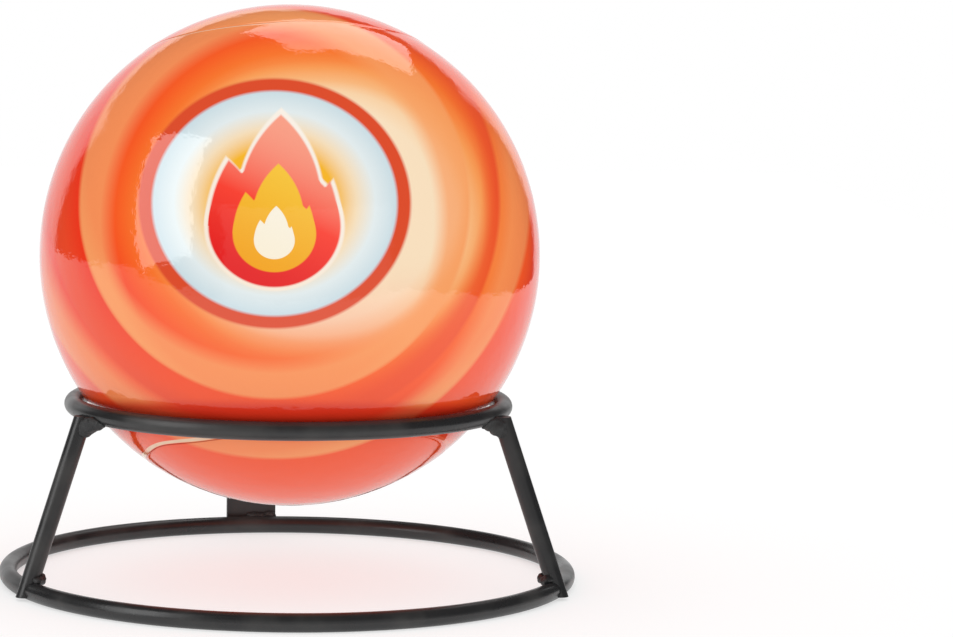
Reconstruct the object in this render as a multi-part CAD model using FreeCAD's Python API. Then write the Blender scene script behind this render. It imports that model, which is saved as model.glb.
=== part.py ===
import FreeCAD, Part
import math
import os

# Fire extinguisher ball resting in its welded wire stand.
# Lengths are in millimetres and angles in degrees.
# The origin is on the floor under the middle of the rings. +Z is up and +Y points at the wall.
# An azimuth is counted from the front, which is -Y, towards +X.

# Stand, bent and welded from round bar
bar_diameter = 5.4
lower_ring_diameter = 168.0  # to the middle of the bar
upper_ring_width = 129.2  # left to right, to the middle of the bar
upper_ring_depth = 127.6  # front to back: the ring is bent a little out of round
upper_ring_height = 53.4  # to the middle of the bar
left_leg_azimuth = -70.5
right_leg_azimuth = 61.0
leg_top_overhang = 3.5  # how far the leg's middle stands outside the upper ring's
leg_foot_overhang = 0.9  # the same at the lower ring
leg_top_drop = 0.4  # the leg is sawn off this far below the middle of the upper ring's bar
leg_foot_clearance = 1.0  # from the floor to the sawn foot

# Flat strip for the wall, the third support of the upper ring
strip_width = 16.0
strip_thickness = 2.0
strip_bend_radius = 2.0  # inside the bend
strip_floor_clearance = 1.0
screw_hole_diameter = 4.5
lower_hole_height = 18.0
hole_spacing = 20.0

# Weld metal
web_reach = 10.5  # of the web at a leg's top, from the leg's middle forward along the upper ring
web_depth = 5.6  # how far it runs down the leg, from the ring's underside
web_top_drop = 0.9  # from the middle of the ring's bar to the web's top on the leg
web_thickness = 4.4  # at the leg
web_tip_height = 3.0  # where it has sunk into the ring's bar
web_tip_thickness = 2.6
web_hollow = 0.5
foot_bead = 1.4  # radius of the bead round a leg's foot
foot_bead_turn = 150.0  # how far round the leg it goes
strip_bead = 1.5  # radius of the beads across the strip

# Ball
ball_diameter = 150.0
seat_gap = 0.2  # between the ball and the bar that it rests on
film_thickness = 0.3
foam_wall = 8.0
foam_lip_height = 6.0  # the lower half's lip stands this far into the upper half
foam_lip_thickness = 4.0
fit_gap = 0.2  # between the pieces inside the ball
fuse_diameter = 2.4
groove_width = 3.0
groove_depth = 2.9

# Core in the middle of the powder
core_tube_diameter = 26.0
core_tube_wall = 1.4
core_tube_length = 58.0
core_cap_thickness = 4.0

# Worked out from the sizes above
bar_radius = bar_diameter / 2
lower_ring_radius = lower_ring_diameter / 2
half_width = upper_ring_width / 2
half_depth = upper_ring_depth / 2
ball_radius = ball_diameter / 2
seat_radius = min(half_width, half_depth)
seat_reach = ball_radius + bar_radius + seat_gap
ball_height = upper_ring_height + math.sqrt(seat_reach ** 2 - seat_radius ** 2)
film_inner_radius = ball_radius - film_thickness
foam_outer_radius = film_inner_radius - fit_gap
foam_inner_radius = foam_outer_radius - foam_wall
groove_floor_radius = foam_outer_radius - groove_depth
fuse_radius = fuse_diameter / 2
fuse_path_radius = groove_floor_radius + fit_gap + fuse_radius
lead_hole_radius = fuse_radius + fit_gap
core_tube_radius = core_tube_diameter / 2
core_bore_radius = core_tube_radius - core_tube_wall
wall_y = lower_ring_radius + bar_radius + strip_thickness
shelf_top = upper_ring_height - bar_radius

up = FreeCAD.Vector(0, 0, 1)
ball_centre = FreeCAD.Vector(0, 0, ball_height)


def save(node, shape):
    solids = shape.Solids
    if len(solids) != 1 or not shape.isValid() or shape.Volume <= 0:
        raise ValueError(node + " is not one valid solid")
    solids[0].exportStep("parts/" + node + ".step")


def outward(azimuth):
    angle = math.radians(azimuth)
    return FreeCAD.Vector(math.sin(angle), -math.cos(angle), 0)


def round_face(centre, normal, radius):
    edge = Part.Circle(centre, normal, radius).toShape()
    return Part.Face(Part.Wire(edge))


def rod(start, end, radius):
    return Part.makeCylinder(radius, (end - start).Length, start, end - start)


def tube(radius, bore_radius, low, high):
    base = FreeCAD.Vector(0, 0, low)
    outside = Part.makeCylinder(radius, high - low, base)
    return outside.cut(Part.makeCylinder(bore_radius, high - low, base))


# A round ring is the torus that one bent and butt-welded bar makes.
def lower_ring():
    return Part.makeTorus(lower_ring_radius, bar_radius, FreeCAD.Vector(0, 0, bar_radius), up)


# The upper ring is a four-centre oval: its arcs meet in line on 3-4-5 triangles.
def upper_ring():
    spread = half_width - half_depth
    side_radius = half_depth - spread / 2
    side_centre = 1.5 * spread
    join_x = side_centre + 0.6 * side_radius
    join_y = 0.8 * side_radius
    z = upper_ring_height
    right = FreeCAD.Vector(half_width, 0, z)
    rear = FreeCAD.Vector(0, half_depth, z)
    left = FreeCAD.Vector(-half_width, 0, z)
    front = FreeCAD.Vector(0, -half_depth, z)
    joins = [FreeCAD.Vector(sx * join_x, sy * join_y, z) for sx, sy in ((1, -1), (1, 1), (-1, 1), (-1, -1))]
    arcs = []
    for i, middle in enumerate((right, rear, left, front)):
        arcs.append(Part.Arc(joins[i], middle, joins[(i + 1) % 4]).toShape())
    path = Part.Wire(arcs)
    start_tangent = FreeCAD.Vector(0.8, 0.6, 0)
    section = Part.Wire(Part.Circle(joins[0], start_tangent, bar_radius).toShape())
    return path.makePipeShell([section], True, False)


# An ellipse of the same width and depth is within a few hundredths of the oval.
def upper_ring_radius_at(azimuth):
    angle = math.radians(azimuth)
    across = half_depth * math.sin(angle)
    along = half_width * math.cos(angle)
    return half_width * half_depth / math.hypot(across, along)


# The middle line of a leg: (distance from the axis, height) at the foot and at the top.
def leg_line(azimuth):
    foot = (lower_ring_radius + leg_foot_overhang, bar_radius)
    top = (upper_ring_radius_at(azimuth) + leg_top_overhang, shelf_top)
    return foot, top


def leg_radius_at(azimuth, z):
    foot, top = leg_line(azimuth)
    return foot[0] + (top[0] - foot[0]) * (z - foot[1]) / (top[1] - foot[1])


def leg_point(azimuth, z):
    return outward(azimuth) * leg_radius_at(azimuth, z) + up * z


# A straight bar, sawn level at both ends and coped round the two rings that it laps.
def leg(azimuth, rings):
    low = leg_foot_clearance
    high = upper_ring_height - leg_top_drop
    bar = rod(leg_point(azimuth, low - bar_diameter), leg_point(azimuth, high + bar_diameter), bar_radius)
    reach = lower_ring_diameter
    level = Part.makeBox(2 * reach, 2 * reach, high - low, FreeCAD.Vector(-reach, -reach, low))
    return bar.common(level).cut(rings[0]).cut(rings[1])


# The strip stands flat on the wall and its top is bent forward under the upper ring.
def wall_strip():
    outer_bend = strip_bend_radius + strip_thickness
    bend_y = wall_y - outer_bend
    bend_z = shelf_top - outer_bend
    front_y = wall_y - strip_thickness
    tip_y = half_depth - bar_radius
    x = -strip_width / 2
    half = math.sqrt(0.5)

    def at(y, z):
        return FreeCAD.Vector(x, y, z)

    def line(start, end):
        return Part.LineSegment(start, end).toShape()

    def bend(radius, start, end):
        return Part.Arc(start, at(bend_y + half * radius, bend_z + half * radius), end).toShape()

    low = strip_floor_clearance
    shelf_bottom = shelf_top - strip_thickness
    edges = [
        line(at(wall_y, low), at(wall_y, bend_z)),
        bend(outer_bend, at(wall_y, bend_z), at(bend_y, shelf_top)),
        line(at(bend_y, shelf_top), at(tip_y, shelf_top)),
        line(at(tip_y, shelf_top), at(tip_y, shelf_bottom)),
        line(at(tip_y, shelf_bottom), at(bend_y, shelf_bottom)),
        bend(strip_bend_radius, at(bend_y, shelf_bottom), at(front_y, bend_z)),
        line(at(front_y, bend_z), at(front_y, low)),
        line(at(front_y, low), at(wall_y, low)),
    ]
    strip = Part.Face(Part.Wire(edges)).extrude(FreeCAD.Vector(strip_width, 0, 0))
    for z in (lower_hole_height, lower_hole_height + hole_spacing):
        start = FreeCAD.Vector(0, front_y - strip_thickness, z)
        strip = strip.cut(rod(start, start + FreeCAD.Vector(0, 3 * strip_thickness, 0), screw_hole_diameter / 2))
    return strip


# Weld metal ends where the steel that it joins begins.
def trimmed(weld, steel):
    for piece in steel:
        weld = weld.cut(piece)
    return max(weld.Solids, key=lambda solid: solid.Volume)


# The web of weld metal in the corner between a leg's front side and the upper ring.
# It narrows from the leg to the ring's bar, into which it sinks, and its underside is hollow.
def web_weld(azimuth, steel):
    turn = math.degrees(web_reach / upper_ring_radius_at(azimuth))
    tip_azimuth = azimuth + (turn if azimuth < 0 else -turn)
    ring_middle = outward(tip_azimuth) * upper_ring_radius_at(tip_azimuth) + up * upper_ring_height
    down_and_out = (outward(tip_azimuth) - up).normalize()
    end = ring_middle + down_and_out * (bar_radius - web_tip_height / 2)
    top = upper_ring_height - web_top_drop
    bottom = shelf_top - web_depth
    start = leg_point(azimuth, (top + bottom) / 2)
    aside = up.cross(end - start).normalize()

    def section(middle, height, thickness):
        curve = Part.Ellipse(middle + up * height / 2, middle + aside * thickness / 2, middle)
        return Part.Wire(curve.toShape())

    waist = (start + end + up * web_hollow) / 2
    waist_height = (top - bottom + web_tip_height) / 2 - web_hollow
    sections = [
        section(start, top - bottom, web_thickness),
        section(waist, waist_height, (web_thickness + web_tip_thickness) / 2),
        section(end, web_tip_height, web_tip_thickness),
    ]
    return trimmed(Part.makeLoft(sections, True), steel)


# A bead on the lower ring that runs round the inner half of a leg's foot.
def foot_weld(azimuth, steel):
    z = bar_diameter + foot_bead / 3
    middle = leg_point(azimuth, z)
    reach = bar_radius + foot_bead / 5
    start = middle + outward(azimuth + 180 - foot_bead_turn / 2) * reach
    end = middle + outward(azimuth + 180 + foot_bead_turn / 2) * reach
    section = round_face(start, up.cross(start - middle), foot_bead)
    ring = section.revolve(middle, up, foot_bead_turn)
    ends = [Part.makeSphere(foot_bead, point) for point in (start, end)]
    return trimmed(ring.multiFuse(ends), steel)


# A straight bead across the strip with round ends.
def strip_weld(first_x, last_x, y, z, steel):
    start = FreeCAD.Vector(first_x, y, z)
    end = FreeCAD.Vector(last_x, y, z)
    ends = [Part.makeSphere(strip_bead, point) for point in (start, end)]
    return trimmed(rod(start, end, strip_bead).multiFuse(ends), steel)


def shrink_film():
    return Part.makeSphere(ball_radius, ball_centre).cut(Part.makeSphere(film_inner_radius, ball_centre))


# Four grooves from pole to pole, as two crossed rings round the ball.
def fuse_grooves():
    beyond = foam_outer_radius + groove_depth
    rings = []
    for axis in (FreeCAD.Vector(1, 0, 0), FreeCAD.Vector(0, 1, 0)):
        start = ball_centre - axis * (groove_width / 2)
        outside = Part.makeCylinder(beyond, groove_width, start, axis)
        rings.append(outside.cut(Part.makeCylinder(groove_floor_radius, groove_width, start, axis)))
    return rings


# The whole foam shell before it is parted, with its grooves and the fuse holes at the poles.
def foam_shell():
    shell = Part.makeSphere(foam_outer_radius, ball_centre)
    shell = shell.cut(Part.makeSphere(foam_inner_radius, ball_centre))
    for groove in fuse_grooves():
        shell = shell.cut(groove)
    pole = up * foam_outer_radius
    return shell.cut(rod(ball_centre - pole, ball_centre + pole, lead_hole_radius))


def below(z, radius):
    depth = ball_diameter
    return Part.makeCylinder(radius, depth, FreeCAD.Vector(0, 0, z - depth))


# The halves part at the widest place, where the lower half's lip stands inside the upper half.
def foam_halves():
    shell = foam_shell()
    lip_radius = foam_inner_radius + foam_lip_thickness
    everything = ball_diameter
    lip_top = ball_height + foam_lip_height
    lower_space = below(ball_height, everything).fuse(below(lip_top, lip_radius))
    removed = below(ball_height, everything).fuse(below(lip_top + fit_gap, lip_radius + fit_gap))
    return shell.cut(removed), shell.common(lower_space)


# One cord in its groove, an arc that stops beside the lead at each pole.
def fuse_cord(azimuth):
    end_angle = math.degrees(math.asin(lead_hole_radius / fuse_path_radius))
    side = outward(azimuth)
    turn_axis = up.cross(side)
    start = up * (fuse_path_radius * math.cos(math.radians(end_angle)))
    start += side * (fuse_path_radius * math.sin(math.radians(end_angle)))
    section = round_face(ball_centre + start, turn_axis.cross(start), fuse_radius)
    return section.revolve(ball_centre, turn_axis, 180 - 2 * end_angle)


# The lead runs from the crossing of the cords at a pole to the charge in the core.
def fuse_lead(sign):
    inner = core_tube_length / 2 - core_cap_thickness
    outer = fuse_path_radius + fuse_radius
    return rod(ball_centre + up * (sign * inner), ball_centre + up * (sign * outer), fuse_radius)


def powder_fill():
    fill = Part.makeSphere(foam_inner_radius - fit_gap, ball_centre)
    pole = up * foam_outer_radius
    fill = fill.cut(rod(ball_centre - pole, ball_centre + pole, lead_hole_radius))
    reach = up * (core_tube_length / 2 + fit_gap)
    return fill.cut(rod(ball_centre - reach, ball_centre + reach, core_tube_radius + fit_gap))


def core_tube():
    half = core_tube_length / 2
    return tube(core_tube_radius, core_bore_radius, ball_height - half, ball_height + half)


# A plug in the tube's end with a hole for the lead.
def core_cap(sign):
    end = ball_height + sign * core_tube_length / 2
    inside = end - sign * (core_cap_thickness - fit_gap)
    return tube(core_bore_radius - fit_gap, lead_hole_radius, min(end, inside), max(end, inside))


def core_charge():
    half = core_tube_length / 2 - core_cap_thickness - fit_gap
    start = ball_centre - up * half
    return rod(start, ball_centre + up * half, core_bore_radius - fit_gap)


def build_stand():
    lower = lower_ring()
    upper = upper_ring()
    rings = [lower, upper]
    save("lower_ring", lower)
    save("upper_ring", upper)
    for name, azimuth in (("left", left_leg_azimuth), ("right", right_leg_azimuth)):
        bar = leg(azimuth, rings)
        save(name + "_leg", bar)
        save(name + "_leg_top_weld", web_weld(azimuth, [bar, upper]))
        save(name + "_leg_foot_weld", foot_weld(azimuth, [bar, lower]))
    strip = wall_strip()
    save("wall_strip", strip)
    edge = strip_width / 2 - strip_bead
    behind_ring = half_depth + bar_radius
    save("strip_top_weld", strip_weld(-edge, edge, behind_ring, shelf_top + strip_bead / 2, [strip, upper]))
    before_strip = wall_y - strip_thickness - strip_bead / 2
    save("strip_foot_weld", strip_weld(0, edge, before_strip, bar_diameter - strip_bead / 3, [strip, lower]))


def build_ball():
    upper_half, lower_half = foam_halves()
    save("shrink_film", shrink_film())
    save("foam_shell_upper", upper_half)
    save("foam_shell_lower", lower_half)
    for name, azimuth in (("front", 0), ("right", 90), ("rear", 180), ("left", 270)):
        save("fuse_cord_" + name, fuse_cord(azimuth))
    save("fuse_lead_top", fuse_lead(1))
    save("fuse_lead_bottom", fuse_lead(-1))
    save("powder_fill", powder_fill())
    save("core_tube", core_tube())
    save("core_cap_top", core_cap(1))
    save("core_cap_bottom", core_cap(-1))
    save("core_charge", core_charge())


build_stand()
build_ball()
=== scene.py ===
import bpy
import bmesh
import math
from mathutils import Matrix, Quaternion, Vector, noise


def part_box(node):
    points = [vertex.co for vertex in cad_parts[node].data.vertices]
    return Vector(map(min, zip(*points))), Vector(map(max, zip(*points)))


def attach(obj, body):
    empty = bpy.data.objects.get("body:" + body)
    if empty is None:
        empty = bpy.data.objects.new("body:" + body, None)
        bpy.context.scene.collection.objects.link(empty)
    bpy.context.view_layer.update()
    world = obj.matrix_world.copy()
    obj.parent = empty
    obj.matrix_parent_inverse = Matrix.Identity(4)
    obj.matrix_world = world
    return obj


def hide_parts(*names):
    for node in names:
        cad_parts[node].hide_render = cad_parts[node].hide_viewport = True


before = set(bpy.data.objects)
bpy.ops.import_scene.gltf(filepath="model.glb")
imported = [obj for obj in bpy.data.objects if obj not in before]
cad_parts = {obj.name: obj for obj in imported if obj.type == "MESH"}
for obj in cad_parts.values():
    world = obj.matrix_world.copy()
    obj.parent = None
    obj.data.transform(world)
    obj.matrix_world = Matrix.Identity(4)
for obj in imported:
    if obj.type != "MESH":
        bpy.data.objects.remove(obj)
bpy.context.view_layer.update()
print("frame loaded:", len(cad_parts), "nodes")

filmLow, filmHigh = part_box("shrink_film")
ballCentre = (Vector(filmLow) + Vector(filmHigh)) / 2
ballRadius = (filmHigh[2] - filmLow[2]) / 2

view = {
    "azimuth": math.radians(-7.85),   # from the front towards +X
    "elevation": math.radians(4.69),
    "distance": 1.0,
    "roll": math.radians(0.5),
    "lens": 125.97,
    "shiftX": 0.196,
    "shiftY": -0.0667,
}

# Even light from all round. Mirrors see a dark room, a pale wall behind the object,
# two softboxes and the white sheet that the object stands on.
studio = {
    "ambient": 1.0,                    # for all rays that aren't mirrored
    "room": 0.05,
    "wall": 0.95,
    "wallHalfWidth": 0.6,              # both as sines of the angles at which its edges are seen
    "wallTop": 0.41,
    "wallSoft": 0.08,
    "sheet": (0.42, 0.42, 0.42, 1),
    "sheetGlow": 0.6,
    "sheetLeftRight": (-1.6, 0.487),   # its edges as the camera sees them
    "sheetFrontBack": (-0.385, 2.2),
    "softboxes": {                     # place, width and height, watts, twist in degrees
        "softboxTop": ((0.252, 0.548, 0.896), (0.622, 0.47), 1.5, 42.4),
        "softboxLeft": ((-0.821, -0.293, 0.476), (0.48, 0.89), 4.2, 18),
    },
}


# helpers
def pieceFrom(mesh, name, smooth=True):
    data = bpy.data.meshes.new(name)
    mesh.to_mesh(data)
    mesh.free()
    if smooth:
        data.polygons.foreach_set("use_smooth", [True] * len(data.polygons))
    piece = bpy.data.objects.new(name, data)
    bpy.context.collection.objects.link(piece)
    return piece


def newMaterial(name):
    material = bpy.data.materials.new(name)
    material.use_nodes = True
    tree = material.node_tree
    return material, tree, tree.nodes["Principled BSDF"]


def plug(tree, value, socket):
    if isinstance(value, bpy.types.NodeSocket):
        tree.links.new(value, socket)
    elif value is not None:
        socket.default_value = value


def maths(tree, operation, first, second=None, third=None, clamp=False):
    node = tree.nodes.new("ShaderNodeMath")
    node.operation = operation
    node.use_clamp = clamp
    for value, socket in zip((first, second, third), node.inputs):
        plug(tree, value, socket)
    return node.outputs[0]


def vectors(tree, operation, first, second=None):
    node = tree.nodes.new("ShaderNodeVectorMath")
    node.operation = operation
    plug(tree, first, node.inputs[0])
    plug(tree, second, node.inputs[1])
    return node.outputs["Value"] if operation == "DOT_PRODUCT" else node.outputs["Vector"]


def parts(tree, vector):
    node = tree.nodes.new("ShaderNodeSeparateXYZ")
    tree.links.new(vector, node.inputs[0])
    return node.outputs


def blendColours(tree, factor, first, second):
    node = tree.nodes.new("ShaderNodeMix")
    node.data_type = "RGBA"
    plug(tree, factor, node.inputs[0])
    plug(tree, first, node.inputs[6])
    plug(tree, second, node.inputs[7])
    return node.outputs[2]


def ease(tree, value, low, high, toLow=0.0, toHigh=1.0):
    node = tree.nodes.new("ShaderNodeMapRange")
    node.interpolation_type = "SMOOTHSTEP"
    plug(tree, value, node.inputs["Value"])
    node.inputs["From Min"].default_value = low
    node.inputs["From Max"].default_value = high
    node.inputs["To Min"].default_value = toLow
    node.inputs["To Max"].default_value = toHigh
    return node.outputs["Result"]


def ramp(tree, value, stops):
    node = tree.nodes.new("ShaderNodeValToRGB")
    plug(tree, value, node.inputs[0])
    marks = node.color_ramp.elements
    while len(marks) < len(stops):
        marks.new(0.5)
    for mark, (place, code) in zip(marks, stops):
        mark.position = place
        mark.color = printed(code)
    return node.outputs["Color"]


# A colour from its sRGB hex code to linear.
def printed(code):
    shares = [int(code[i:i + 2], 16) / 255 for i in (0, 2, 4)]
    return tuple(c / 12.92 if c <= 0.04045 else ((c + 0.055) / 1.055) ** 2.4 for c in shares) + (1,)


def newGroup(name, inputs, outputs):
    group = bpy.data.node_groups.new(name, "ShaderNodeTree")
    for label, kind, value in inputs:
        socket = group.interface.new_socket(name=label, in_out="INPUT", socket_type=kind)
        if value is not None:
            socket.default_value = value
    for label in outputs:
        group.interface.new_socket(name=label, in_out="OUTPUT", socket_type="NodeSocketFloat")
    start = group.nodes.new("NodeGroupInput")
    end = group.nodes.new("NodeGroupOutput")
    return group, start, end


def useGroup(tree, group, **values):
    node = tree.nodes.new("ShaderNodeGroup")
    node.node_tree = group
    for label, value in values.items():
        plug(tree, value, node.inputs[label])
    return node.outputs


# camera and light
def makeCamera():
    back = Vector((
        math.sin(view["azimuth"]) * math.cos(view["elevation"]),
        -math.cos(view["azimuth"]) * math.cos(view["elevation"]),
        math.sin(view["elevation"]),
    ))
    data = bpy.data.cameras.new("photoCamera")
    data.sensor_width = 36
    data.lens = view["lens"]
    data.shift_x = view["shiftX"]
    data.shift_y = view["shiftY"]
    camera = bpy.data.objects.new("photoCamera", data)
    bpy.context.collection.objects.link(camera)
    camera.location = ballCentre + back * view["distance"]
    turn = (-back).to_track_quat("-Z", "Y") @ Quaternion((0, 0, 1), view["roll"])
    camera.rotation_euler = turn.to_euler()
    bpy.context.scene.camera = camera
    bpy.context.scene.view_settings.view_transform = "Standard"


def makeSoftbox(name, place, size, watts, twist):
    data = bpy.data.lights.new(name, "AREA")
    data.shape = "RECTANGLE"
    data.size, data.size_y = size
    data.energy = watts
    lamp = bpy.data.objects.new(name, data)
    bpy.context.collection.objects.link(lamp)
    lamp.location = place
    aim = (ballCentre - Vector(place)).to_track_quat("-Z", "Y")
    lamp.rotation_euler = (aim @ Quaternion((0, 0, 1), math.radians(twist))).to_euler()
    lamp.visible_camera = False
    lamp.visible_diffuse = False       # the even light alone lights the object


def makeWorld():
    world = bpy.context.scene.world or bpy.data.worlds.new("studio")
    bpy.context.scene.world = world
    world.use_nodes = True
    tree = world.node_tree
    tree.nodes.clear()
    towards = parts(tree, tree.nodes.new("ShaderNodeTexCoord").outputs["Generated"])
    sideways = maths(tree, "DIVIDE", maths(tree, "ABSOLUTE", towards["X"]), studio["wallHalfWidth"])
    upwards = maths(tree, "DIVIDE", towards["Z"], studio["wallTop"])
    outside = maths(tree, "MAXIMUM", sideways, upwards)
    outside = maths(tree, "MAXIMUM", outside, maths(tree, "LESS_THAN", towards["Y"], 0.0))
    outside = maths(tree, "MINIMUM", outside, 2.0)
    soft = studio["wallSoft"]
    mirrored = ease(tree, outside, 1 - soft, 1 + soft, studio["wall"], studio["room"])
    rays = tree.nodes.new("ShaderNodeLightPath").outputs
    choice = tree.nodes.new("ShaderNodeMix")
    plug(tree, rays["Is Glossy Ray"], choice.inputs[0])
    plug(tree, studio["ambient"], choice.inputs[2])
    plug(tree, mirrored, choice.inputs[3])
    light = tree.nodes.new("ShaderNodeBackground")
    light.inputs["Color"].default_value = (1, 1, 1, 1)
    seen = maths(tree, "MAXIMUM", rays["Is Camera Ray"], choice.outputs[0])
    tree.links.new(seen, light.inputs["Strength"])
    out = tree.nodes.new("ShaderNodeOutputWorld")
    tree.links.new(light.outputs["Background"], out.inputs["Surface"])


def makeSheet():
    mesh = bmesh.new()
    left, right = studio["sheetLeftRight"]
    near, far = studio["sheetFrontBack"]
    bmesh.ops.create_grid(mesh, x_segments=1, y_segments=1, size=0.5)
    bmesh.ops.scale(mesh, verts=mesh.verts, vec=(right - left, far - near, 1))
    bmesh.ops.translate(mesh, verts=mesh.verts, vec=((left + right) / 2, (near + far) / 2, 0))
    turn = Matrix.Rotation(view["azimuth"], 3, "Z")
    bmesh.ops.rotate(mesh, verts=mesh.verts, cent=(0, 0, 0), matrix=turn)
    sheet = pieceFrom(mesh, "whiteSheet", smooth=False)
    sheet.visible_diffuse = False      # so the even light also reaches the object from below
    material, tree, shader = newMaterial("whitePaper")
    shader.inputs["Base Color"].default_value = studio["sheet"]
    shader.inputs["Roughness"].default_value = 0.9
    shader.inputs["Specular IOR Level"].default_value = 0.0
    shader.inputs["Emission Color"].default_value = (1, 1, 1, 1)
    rays = tree.nodes.new("ShaderNodeLightPath").outputs
    seen = maths(tree, "ADD", rays["Is Camera Ray"], rays["Is Glossy Ray"])
    seen = maths(tree, "ADD", seen, rays["Is Transmission Ray"], clamp=True)
    tree.links.new(maths(tree, "MULTIPLY", seen, studio["sheetGlow"]), shader.inputs["Emission Strength"])
    sheet.data.materials.append(material)


# shared effects
# One inside a circle of the print, nought outside.
def makeDiscGroup():
    group, start, end = newGroup("disc", [
        ("Point", "NodeSocketVector", None),
        ("X", "NodeSocketFloat", 0.0),
        ("Y", "NodeSocketFloat", 0.0),
        ("Radius", "NodeSocketFloat", 0.5),
        ("Soft", "NodeSocketFloat", 0.01),
    ], ["Mask"])
    point = parts(group, start.outputs["Point"])
    dx = maths(group, "SUBTRACT", point["X"], start.outputs["X"])
    dy = maths(group, "SUBTRACT", point["Y"], start.outputs["Y"])
    squares = maths(group, "MULTIPLY_ADD", dx, dx, maths(group, "MULTIPLY", dy, dy))
    distance = maths(group, "SQRT", squares)
    inward = maths(group, "SUBTRACT", start.outputs["Radius"], distance)
    share = maths(group, "DIVIDE", inward, start.outputs["Soft"])
    group.links.new(maths(group, "ADD", share, 0.5, clamp=True), end.inputs["Mask"])
    return group


# A plain flame with three tongues, about as wide and high as the unit circle.
flameShape = {
    "waist": -0.3,
    "body": (0.0, -0.3, 0.6),                              # x, y and radius of a circle
    "tongues": [                                           # each where two circles overlap
        ((-0.75, -0.05, 1.17), (0.85, -0.05, 1.17)),
        ((0.7, -0.3, 1.295), (-1.0, -0.3, 0.871)),
        ((-0.7, -0.3, 1.2816), (1.1, -0.3, 0.75)),
    ],
}


def makeFlameGroup(disc):
    group, start, end = newGroup("flame", [
        ("Point", "NodeSocketVector", None),
        ("Soft", "NodeSocketFloat", 0.01),
    ], ["Mask"])
    point, soft = start.outputs["Point"], start.outputs["Soft"]

    def circle(x, y, radius):
        return useGroup(group, disc, Point=point, X=x, Y=y, Radius=radius, Soft=soft)["Mask"]

    tongues = 0.0
    for first, second in flameShape["tongues"]:
        tongue = maths(group, "MINIMUM", circle(*first), circle(*second))
        tongues = maths(group, "MAXIMUM", tongues, tongue)
    above = maths(group, "GREATER_THAN", parts(group, point)["Y"], flameShape["waist"])
    body = circle(*flameShape["body"])
    group.links.new(maths(group, "MULTIPLY_ADD", tongues, above, body, clamp=True), end.inputs["Mask"])
    return group


# Two noises: fine grain and wider patches.
def makeGrainGroup():
    group, start, end = newGroup("grain", [
        ("Scale", "NodeSocketFloat", 400.0),
        ("Detail", "NodeSocketFloat", 4.0),
        ("Patch", "NodeSocketFloat", 40.0),
        ("Stretch", "NodeSocketVector", (1, 1, 1)),
    ], ["Tone", "Patches"])
    place = group.nodes.new("ShaderNodeTexCoord").outputs["Object"]
    place = vectors(group, "MULTIPLY", place, start.outputs["Stretch"])
    for scale, label, detail in (("Scale", "Tone", start.outputs["Detail"]), ("Patch", "Patches", 3.0)):
        cloud = group.nodes.new("ShaderNodeTexNoise")
        group.links.new(place, cloud.inputs["Vector"])
        group.links.new(start.outputs[scale], cloud.inputs["Scale"])
        plug(group, detail, cloud.inputs["Detail"])
        group.links.new(cloud.outputs["Fac"], end.inputs[label])
    return group


# Beads pressed together: height across a bead, and a tone for each.
def makeBeadGroup():
    group, start, end = newGroup("beads", [("Scale", "NodeSocketFloat", 400.0)], ["Height", "Tone"])
    place = group.nodes.new("ShaderNodeTexCoord").outputs["Object"]
    edges = group.nodes.new("ShaderNodeTexVoronoi")
    edges.feature = "DISTANCE_TO_EDGE"
    cells = group.nodes.new("ShaderNodeTexVoronoi")
    for node in (edges, cells):
        group.links.new(place, node.inputs["Vector"])
        group.links.new(start.outputs["Scale"], node.inputs["Scale"])
    group.links.new(ease(group, edges.outputs["Distance"], 0.0, 0.25), end.inputs["Height"])
    group.links.new(parts(group, cells.outputs["Color"])["X"], end.inputs["Tone"])
    return group


# Two sets of slanting ridges that cross, as on a braided cord.
def makeBraidGroup():
    group, start, end = newGroup("braid", [("Pitch", "NodeSocketFloat", 0.0012)], ["Height"])
    place = group.nodes.new("ShaderNodeTexCoord").outputs["Object"]
    turns = maths(group, "DIVIDE", 2 * math.pi, start.outputs["Pitch"])
    ridges = []
    for slant in ((1, 1, 1), (-1, -1, 1)):
        along = maths(group, "MULTIPLY", vectors(group, "DOT_PRODUCT", place, slant), turns)
        ridges.append(maths(group, "MULTIPLY_ADD", maths(group, "SINE", along), 0.5, 0.5))
    group.links.new(maths(group, "MAXIMUM", *ridges), end.inputs["Height"])
    return group


def addBump(tree, shader, height, distance):
    lift = tree.nodes.new("ShaderNodeBump")
    lift.inputs["Distance"].default_value = distance
    tree.links.new(height, lift.inputs["Height"])
    tree.links.new(lift.outputs["Normal"], shader.inputs["Normal"])
    return lift.outputs["Normal"]


# steel bars, strip and weld metal
bars = {
    "nodes": ("lower_ring", "upper_ring", "left_leg", "right_leg"),
    "paint": "262627",
    "worn": "3A3938",
    "rough": (0.26, 0.42),
    "weldRough": (0.5, 0.7),
    "grain": 900.0,
    "patch": 60.0,
    "bump": 0.00002,
    "weldBump": 0.0001,
}
weld = {
    "voxel": 0.0003,
    "swell": 0.00015,        # grown into the bars, so that no gap shows
    "lump": 0.0007,
    "lumpsPerMetre": 550,
    "ripple": 0.0002,
    "ripplesPerMetre": 1600,
    "smooth": 0.4,
    "nodes": ("left_leg_top_weld", "right_leg_top_weld", "left_leg_foot_weld", "right_leg_foot_weld",
              "strip_top_weld", "strip_foot_weld"),
}
strip = {
    "edge": 0.0003,
    "segments": 3,
    "flatter": math.radians(1),
    "sharper": math.radians(40),
    "holeReach": 0.003,                # the screw holes' edges lie nearer to the middle than this
}


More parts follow.
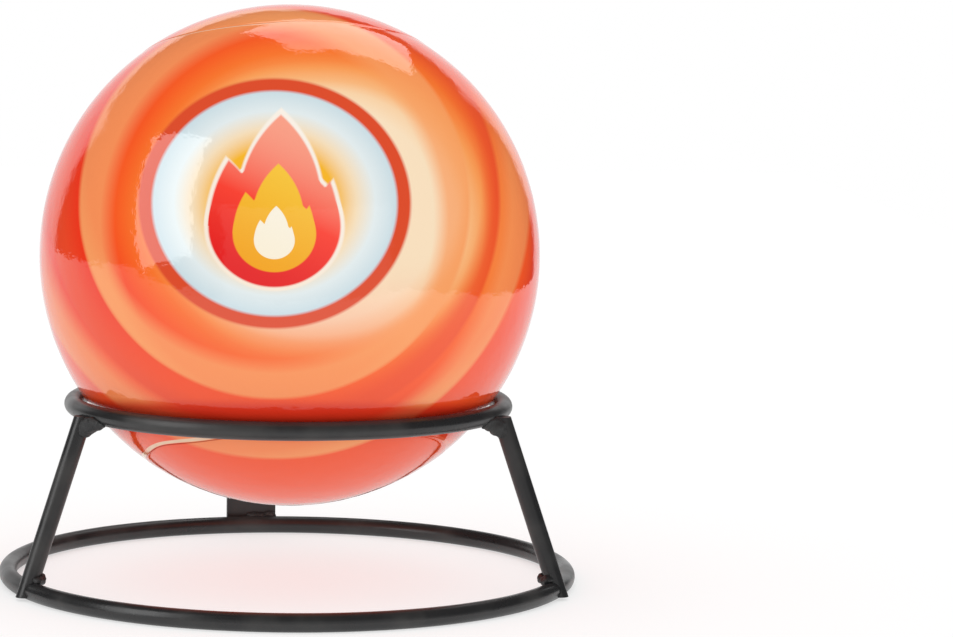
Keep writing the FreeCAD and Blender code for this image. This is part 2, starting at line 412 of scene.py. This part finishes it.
def makePaint(name, grain, bump, rough):
    material, tree, shader = newMaterial(name)
    grains = useGroup(tree, grain, Scale=bars["grain"], Patch=bars["patch"])
    worn = ease(tree, grains["Patches"], 0.4, 0.75)
    colour = blendColours(tree, worn, printed(bars["paint"]), printed(bars["worn"]))
    tree.links.new(colour, shader.inputs["Base Color"])
    tree.links.new(ease(tree, grains["Patches"], 0.3, 0.7, *rough), shader.inputs["Roughness"])
    addBump(tree, shader, grains["Tone"], bump)
    return material


def dressNode(name, material):
    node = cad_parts[name]
    node.data.materials.clear()
    node.data.materials.append(material)


# A merged copy of a node's mesh.
def copyOf(name):
    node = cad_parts[name]
    mesh = bmesh.new()
    mesh.from_mesh(node.data)
    bmesh.ops.transform(mesh, matrix=node.matrix_world, verts=mesh.verts)
    bmesh.ops.remove_doubles(mesh, verts=mesh.verts, dist=1e-6)
    return mesh


# Weld metal is the plain solid with an even skin, made lumpy.
def makeWeld(name, material):
    piece = pieceFrom(copyOf(name), "lumpy_" + name)
    skin = piece.modifiers.new("skin", "REMESH")
    skin.mode = "VOXEL"
    skin.voxel_size = weld["voxel"]
    graph = bpy.context.evaluated_depsgraph_get()
    mesh = bmesh.new()
    mesh.from_mesh(bpy.data.meshes.new_from_object(piece.evaluated_get(graph)))
    piece.modifiers.clear()
    mesh.normal_update()
    moves = []
    for vert in mesh.verts:
        lump = noise.noise(vert.co * weld["lumpsPerMetre"])
        ripple = noise.noise(vert.co * weld["ripplesPerMetre"])
        moves.append(vert.normal * (weld["swell"] + weld["lump"] * lump + weld["ripple"] * ripple))
    for vert, move in zip(mesh.verts, moves):
        vert.co += move
    bmesh.ops.smooth_vert(mesh, verts=mesh.verts, factor=weld["smooth"],
                          use_axis_x=True, use_axis_y=True, use_axis_z=True)
    mesh.to_mesh(piece.data)
    mesh.free()
    piece.data.polygons.foreach_set("use_smooth", [True] * len(piece.data.polygons))
    piece.data.materials.append(material)
    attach(piece, "root")
    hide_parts(name)


def makeStrip(material):
    mesh = copyOf("wall_strip")
    bmesh.ops.dissolve_limit(mesh, angle_limit=strip["flatter"], verts=mesh.verts, edges=mesh.edges)
    sharp = [edge for edge in mesh.edges if edge.calc_face_angle(0) > strip["sharper"]]
    outline = [edge for edge in sharp if max(abs(v.co.x) for v in edge.verts) > strip["holeReach"]]
    bmesh.ops.bevel(mesh, geom=outline, offset=strip["edge"], segments=strip["segments"], profile=0.5,
                    affect="EDGES", clamp_overlap=True, material=-1)
    bmesh.ops.recalc_face_normals(mesh, faces=mesh.faces)
    piece = pieceFrom(mesh, "strip_with_round_edges")
    flat = piece.modifiers.new("flat", "WEIGHTED_NORMAL")      # keeps the wide faces flat
    flat.weight = 100
    piece.data.materials.append(material)
    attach(piece, "root")
    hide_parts("wall_strip")


# film round the ball: a printed sleeve whose ends are lapped by two round caps
film = {
    "around": 224,
    "step": math.radians(1.35),
    "lean": math.radians(-16.5),       # its caps' axis, turned about +X
    "laps": [                          # angle from the axis, width of the pale edge
        (math.radians(36.9), 0.0006),
        (math.radians(180 - 36.6), 0.0017),
    ],
    "lapHeight": 0.00012,
    "lapRise": math.radians(0.3),
    "lapRings": [math.radians(a) for a in (-0.7, -0.15, 0.0, 0.15, 0.7)],
    "wander": math.radians(1.1),       # how far a lap strays from its circle
    "wanderTurns": 2.2,
    "wanderReach": math.radians(6),
    "wave": 0.00006,
    "waves": 9,
    "gather": 0.00005,                 # small folds along the laps
    "gathers": 7,
    "gatherReach": math.radians(12),
    "thickness": 0.0003,
}


def filmAngles():
    count = round(math.pi / film["step"])
    angles = [math.pi * i / count for i in range(count + 1)]
    for lap, edge in film["laps"]:
        angles = [a for a in angles if abs(a - lap) > film["step"]]
        angles += [lap + offset for offset in film["lapRings"]]
    return sorted(angles)


# Where a point of the film goes, and how far it lies past the nearest lap, in pale edges.
def filmPoint(direction):
    polar = math.acos(max(-1.0, min(1.0, direction.z)))
    around = math.atan2(direction.y, direction.x)
    circling = Vector((math.cos(around), math.sin(around), 0))
    lap, edge = min(film["laps"], key=lambda item: abs(item[0] - polar))
    inward = 1 if lap < math.pi / 2 else -1            # from the cap towards the equator
    past = (polar - lap) * inward
    straying = noise.noise(circling * film["wanderTurns"] + Vector((0, 0, lap)))
    nearLap = max(0.0, 1 - abs(past) / film["wanderReach"])
    strayed = polar + film["wander"] * straying * nearLap
    rise = max(0.0, min(1.0, 0.5 - past / film["lapRise"]))
    wave = 0.5 + 0.5 * noise.fractal(direction * film["waves"], 1.0, 2.0, 3)
    folds = noise.noise(circling * film["gathers"] + Vector((0, 0, 4 * lap)))
    folds *= max(0.0, 1 - abs(past) / film["gatherReach"])
    sink = film["lapHeight"] * (1 - rise) + film["wave"] * wave + film["gather"] * abs(folds)
    turned = Vector((math.sin(strayed) * circling.x, math.sin(strayed) * circling.y, math.cos(strayed)))
    return turned * (ballRadius - max(0.0, sink)), past * ballRadius / edge


def makeFilm():
    mesh = bmesh.new()
    profile = [mesh.verts.new((math.sin(a), 0, math.cos(a))) for a in filmAngles()]
    edges = [mesh.edges.new(pair) for pair in zip(profile, profile[1:])]
    bmesh.ops.spin(mesh, geom=profile + edges, cent=(0, 0, 0), axis=(0, 0, 1), angle=2 * math.pi,
                   steps=film["around"], use_merge=True)
    bmesh.ops.remove_doubles(mesh, verts=mesh.verts, dist=1e-5)
    bmesh.ops.recalc_face_normals(mesh, faces=mesh.faces)
    lapLayer = mesh.verts.layers.float.new("lap")
    for vert in mesh.verts:
        vert.co, vert[lapLayer] = filmPoint(vert.co.normalized())
    place = Matrix.Translation(ballCentre) @ Matrix.Rotation(film["lean"], 4, "X")
    bmesh.ops.transform(mesh, matrix=place, verts=mesh.verts)
    piece = pieceFrom(mesh, "printed_film")
    wall = piece.modifiers.new("wall", "SOLIDIFY")
    wall.thickness = film["thickness"]
    wall.offset = -1
    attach(piece, "root")
    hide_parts("shrink_film")
    return piece


# The print's shapes are in ball radii, to the right of and above the ball's middle. A circle is
# given by its middle, its radius and how soft its edge is.
filmPrint = {
    "glow": (0.0, 0.18, 1.15),         # middle of the pale glow, and its flattening
    "lean": -0.17,
    "uneven": 0.1,                     # strength and scale of the clouds in the ground
    "clouds": 1.3,
    "ground": [(0.5, "FFE6C4"), (0.56, "FFD8AC"), (0.6, "FFBC80"), (0.65, "FFA25A"), (0.68, "FF8C44"),
               (0.72, "FF7A30"), (0.78, "FF6828"), (0.83, "FE5823"), (0.88, "FA431F"), (0.95, "F5391C")],
    "belly": "FE5E2A",
    "bellyRange": (0.02, -0.65),
    "bellyStrength": 0.7,
    "paintedRingShade": "DE2A1A",                  # painted shade: a redder band just above the stand's ring, for the ring's shadow and its dark reflection
    "paintedRingShadeEdges": ((-0.57, -0.62), (-0.74, -0.7)),
    "paintedRingShadeStrength": 0.8,
    "streaks": [                       # colour, strength, radius, width and the way it faces, degrees
        ("FFA566", 0.75, 0.78, 0.13, 30),
        ("F4512A", 0.7, 0.9, 0.08, 65),
        ("FFB06E", 0.5, 1.02, 0.1, 0),
    ],
    "streakTurns": (0, 120, 240),      # each is there three times, evenly round the badge
    "streakSoft": (0.015, 0.06),
    "lapEdge": "F3CBAA",
    # painted shade: a dark line in the crease at each lap
    "lapCreaseShade": "B3241A",
    "lapFade": (0.2, -0.25),           # the laps show more on the left
    "creaseShadeStrength": 0.6,
    "patches": 70.0,
}
badge = {
    "place": (-0.062, 0.205),
    "size": (0.545, 0.50),
    "hole": 0.9,                       # inside the even rim, in the badge's own radii
    "soft": 0.025,
    "flameSoft": 0.02,
    "rim": "E3502E",
    "field": [(0.0, "FCA60C"), (0.45, "FDBB2E"), (0.6, "FBE3BE"), (0.74, "E8F1F2"), (0.9, "CFE2E9")],
    "flames": [    # colours from lower left to upper right, size, how far above the badge's middle
        ([(0.0, "FFEFDC"), (1.0, "FFF6EA")], 0.86, 0.075),
        ([(0.0, "E81C20"), (0.5, "FF4636"), (1.0, "FFA58C")], 0.81, 0.06),
        ([(0.0, "F8A40C"), (1.0, "FFD34A")], 0.51, -0.09),
        ([(0.0, "FFF3D8"), (1.0, "FFFBF0")], 0.25, -0.22),
    ],
}
gloss = {
    "rough": (0.3, 0.4),
    "coatRough": 0.02,
    "ripples": 220.0,
    "rippleHeight": 0.0001,
    "index": 1.5,
}


def distanceFrom(tree, across, height, x, y, flattening):
    dx = maths(tree, "SUBTRACT", across, x)
    dy = maths(tree, "MULTIPLY", maths(tree, "SUBTRACT", height, y), flattening)
    return maths(tree, "SQRT", maths(tree, "MULTIPLY_ADD", dx, dx, maths(tree, "MULTIPLY", dy, dy)))


def moved(tree, flat, place, size):
    node = tree.nodes.new("ShaderNodeMapping")
    node.vector_type = "TEXTURE"
    node.inputs["Location"].default_value = (*place, 0)
    node.inputs["Scale"].default_value = (*size, 1)
    tree.links.new(flat, node.inputs["Vector"])
    return node.outputs["Vector"]


def makeFilmPrint(disc, flame, grain):
    material, tree, shader = newMaterial("glossyFilmPrint")
    place = tree.nodes.new("ShaderNodeTexCoord")
    turn = tree.nodes.new("ShaderNodeMapping")      # X right, Y away, Z up, in ball radii
    turn.vector_type = "TEXTURE"
    turn.inputs["Location"].default_value = ballCentre
    turn.inputs["Rotation"].default_value = (-view["elevation"], 0, view["azimuth"])
    turn.inputs["Scale"].default_value = (ballRadius,) * 3
    tree.links.new(place.outputs["Object"], turn.inputs["Vector"])
    spot = parts(tree, turn.outputs["Vector"])
    side = maths(tree, "SIGN", spot["Y"])            # -1 in front, 1 behind, where the print comes again
    depth = maths(tree, "ABSOLUTE", spot["Y"])
    # The print's places were measured on the photograph: this fixed factor undoes its perspective.
    wider = maths(tree, "MULTIPLY", depth, -ballRadius / view["distance"])
    wider = maths(tree, "DIVIDE", 1.0, maths(tree, "ADD", wider, 1.0))
    height = maths(tree, "MULTIPLY", spot["Z"], wider)
    across = maths(tree, "MULTIPLY", maths(tree, "MULTIPLY", spot["X"], side), -1.0)
    across = maths(tree, "MULTIPLY", across, wider)
    facing = ease(tree, depth, 0.02, 0.4)
    join = tree.nodes.new("ShaderNodeCombineXYZ")
    tree.links.new(across, join.inputs[0])
    tree.links.new(height, join.inputs[1])
    flat = join.outputs[0]

    def circle(x, y, radius, soft, point=flat):
        return useGroup(tree, disc, Point=point, X=x, Y=y, Radius=radius, Soft=soft)["Mask"]

    # Ground: pale round the badge, then orange, then red.
    clouds = tree.nodes.new("ShaderNodeTexNoise")
    clouds.inputs["Scale"].default_value = filmPrint["clouds"]
    clouds.inputs["Detail"].default_value = 1
    tree.links.new(turn.outputs["Vector"], clouds.inputs["Vector"])
    away = distanceFrom(tree, across, height, *filmPrint["glow"])
    leaning = maths(tree, "MULTIPLY", maths(tree, "MULTIPLY", across, facing), filmPrint["lean"])
    away = maths(tree, "ADD", away, leaning)
    uneven = maths(tree, "SUBTRACT", clouds.outputs["Fac"], 0.5)
    away = maths(tree, "MULTIPLY_ADD", uneven, filmPrint["uneven"], away)
    colour = ramp(tree, away, filmPrint["ground"])
    belly = ease(tree, height, *filmPrint["bellyRange"], 0.0, filmPrint["bellyStrength"])
    colour = blendColours(tree, belly, colour, printed(filmPrint["belly"]))

    # Curved streaks round the badge: crescents between two circles of one size.
    x, y = badge["place"]
    outerSoft, innerSoft = filmPrint["streakSoft"]
    for code, strength, radius, width, faces in filmPrint["streaks"]:
        for turned in filmPrint["streakTurns"]:
            way = math.radians(faces + turned)
            outer = circle(x, y, radius, outerSoft)
            inner = circle(x - width * math.cos(way), y - width * math.sin(way), radius, innerSoft)
            mask = maths(tree, "SUBTRACT", outer, inner, clamp=True)
            mask = maths(tree, "MULTIPLY", maths(tree, "MULTIPLY", mask, strength), facing)
            colour = blendColours(tree, mask, colour, printed(code))
    # Painted shade: a redder band just above the stand's ring stands in for the ring's shadow and its
    # dark reflection in the film.
    upper, lower = filmPrint["paintedRingShadeEdges"]
    paintedRingShade = maths(tree, "MULTIPLY", ease(tree, height, *upper), ease(tree, height, *lower))
    paintedRingShade = maths(tree, "MULTIPLY", paintedRingShade, filmPrint["paintedRingShadeStrength"])
    colour = blendColours(tree, paintedRingShade, colour, printed(filmPrint["paintedRingShade"]))

    # Badge: a rim round a gold and pale field with a plain flame in it.
    front = ease(tree, depth, 0.05, 0.12)
    inBadge = moved(tree, flat, badge["place"], badge["size"])
    spot = parts(tree, inBadge)
    outside = maths(tree, "MULTIPLY", circle(0, 0, 1, badge["soft"], inBadge), front)
    inner = maths(tree, "MULTIPLY", circle(0, 0, badge["hole"], badge["soft"], inBadge), front)
    fieldColour = ramp(tree, distanceFrom(tree, spot["X"], spot["Y"], 0, 0, 1), badge["field"])
    colour = blendColours(tree, outside, colour, printed(badge["rim"]))
    colour = blendColours(tree, inner, colour, fieldColour)
    rising = maths(tree, "MULTIPLY_ADD", spot["X"], 0.5, spot["Y"])
    for stops, size, lift in badge["flames"]:
        point = moved(tree, inBadge, (0, lift), (size, size))
        mask = useGroup(tree, flame, Point=point, Soft=badge["flameSoft"])["Mask"]
        tone = ramp(tree, ease(tree, rising, -0.85, 0.75), stops)
        colour = blendColours(tree, maths(tree, "MULTIPLY", mask, front), colour, tone)

    # The pale edge of the printed sleeve at each lap, with painted shade in the crease beside it.
    lap = tree.nodes.new("ShaderNodeAttribute")
    lap.attribute_name = "lap"
    past = lap.outputs["Fac"]
    grains = useGroup(tree, grain, Scale=gloss["ripples"], Patch=filmPrint["patches"])
    edge = maths(tree, "MULTIPLY", ease(tree, past, 0.1, 0.25), ease(tree, past, 1.0, 0.8))
    edge = maths(tree, "MULTIPLY", edge, ease(tree, grains["Patches"], 0.3, 0.5, 0.3, 1.0))
    leftward = ease(tree, across, *filmPrint["lapFade"], 0.2, 1.0)
    edge = maths(tree, "MULTIPLY", edge, leftward)
    # Painted shade in the crease at the lap step, stronger on the left.
    creaseShade = maths(tree, "MULTIPLY", ease(tree, past, -0.2, -0.05), ease(tree, past, 0.15, 0.05))
    colour = blendColours(tree, edge, colour, printed(filmPrint["lapEdge"]))
    creaseShade = maths(tree, "MULTIPLY", creaseShade, leftward)
    creaseShade = maths(tree, "MULTIPLY", creaseShade, filmPrint["creaseShadeStrength"])
    colour = blendColours(tree, creaseShade, colour, printed(filmPrint["lapCreaseShade"]))

    tree.links.new(colour, shader.inputs["Base Color"])
    tree.links.new(ease(tree, grains["Patches"], 0.3, 0.7, *gloss["rough"]), shader.inputs["Roughness"])
    shader.inputs["Specular IOR Level"].default_value = 0.0
    shader.inputs["Coat Weight"].default_value = 1.0
    shader.inputs["Coat Roughness"].default_value = gloss["coatRough"]
    shader.inputs["Coat IOR"].default_value = gloss["index"]
    normal = addBump(tree, shader, grains["Tone"], gloss["rippleHeight"])
    tree.links.new(normal, shader.inputs["Coat Normal"])
    return material


# pieces inside the ball
inside = {
    "whiteFoam": {
        "nodes": ("foam_shell_upper", "foam_shell_lower"), "pattern": "beads", "scale": 420.0,
        "colours": ("D9D9D4", "F4F4F0"), "rough": 0.75, "bump": 0.0003,
    },
    "fuseCord": {
        "nodes": ("fuse_cord_front", "fuse_cord_right", "fuse_cord_rear", "fuse_cord_left",
                  "fuse_lead_top", "fuse_lead_bottom"), "pattern": "braid", "scale": 0.0013,
        "colours": ("2F4A38", "6F9A7C"), "rough": 0.8, "bump": 0.0002,
    },
    "paleYellowPowder": {
        "nodes": ("powder_fill",), "pattern": "grain", "scale": 1500.0,
        "colours": ("DDD0A6", "F3EBCB"), "rough": 0.95, "bump": 0.0002,
    },
    "brownCard": {
        "nodes": ("core_tube", "core_cap_top", "core_cap_bottom"), "pattern": "grain", "scale": 300.0,
        "colours": ("8E6A45", "B58F64"), "rough": 0.85, "bump": 0.00008, "stretch": (1, 1, 6),
    },
    "greyCharge": {
        "nodes": ("core_charge",), "pattern": "beads", "scale": 900.0,
        "colours": ("3A3A3D", "66666A"), "rough": 0.7, "bump": 0.0002,
    },
}


def makeInside(name, item, groups):
    material, tree, shader = newMaterial(name)
    group = groups[item["pattern"]]
    if item["pattern"] == "beads":
        out = useGroup(tree, group, Scale=item["scale"])
        tone, height = out["Tone"], out["Height"]
    elif item["pattern"] == "braid":
        height = tone = useGroup(tree, group, Pitch=item["scale"])["Height"]
    else:
        height = tone = useGroup(tree, group, Scale=item["scale"], Stretch=item.get("stretch"))["Tone"]
    low, high = (printed(code) for code in item["colours"])
    tree.links.new(blendColours(tree, tone, low, high), shader.inputs["Base Color"])
    shader.inputs["Roughness"].default_value = item["rough"]
    shader.inputs["Specular IOR Level"].default_value = 0.3
    addBump(tree, shader, height, item["bump"])
    for node in item["nodes"]:
        dressNode(node, material)


# build
makeCamera()
makeWorld()
for name, settings in studio["softboxes"].items():
    makeSoftbox(name, *settings)
makeSheet()
print("camera, light and sheet made")

disc = makeDiscGroup()
flame = makeFlameGroup(disc)
grain = makeGrainGroup()
groups = {"beads": makeBeadGroup(), "braid": makeBraidGroup(), "grain": grain}

barPaint = makePaint("satinBlackPaint", grain, bars["bump"], bars["rough"])
weldPaint = makePaint("paintOverWeld", grain, bars["weldBump"], bars["weldRough"])
for name in bars["nodes"]:
    dressNode(name, barPaint)
for name in weld["nodes"]:
    makeWeld(name, weldPaint)
makeStrip(barPaint)
print("stand made")

makeFilm().data.materials.append(makeFilmPrint(disc, flame, grain))
for name, item in inside.items():
    makeInside(name, item, groups)
print("ball made")
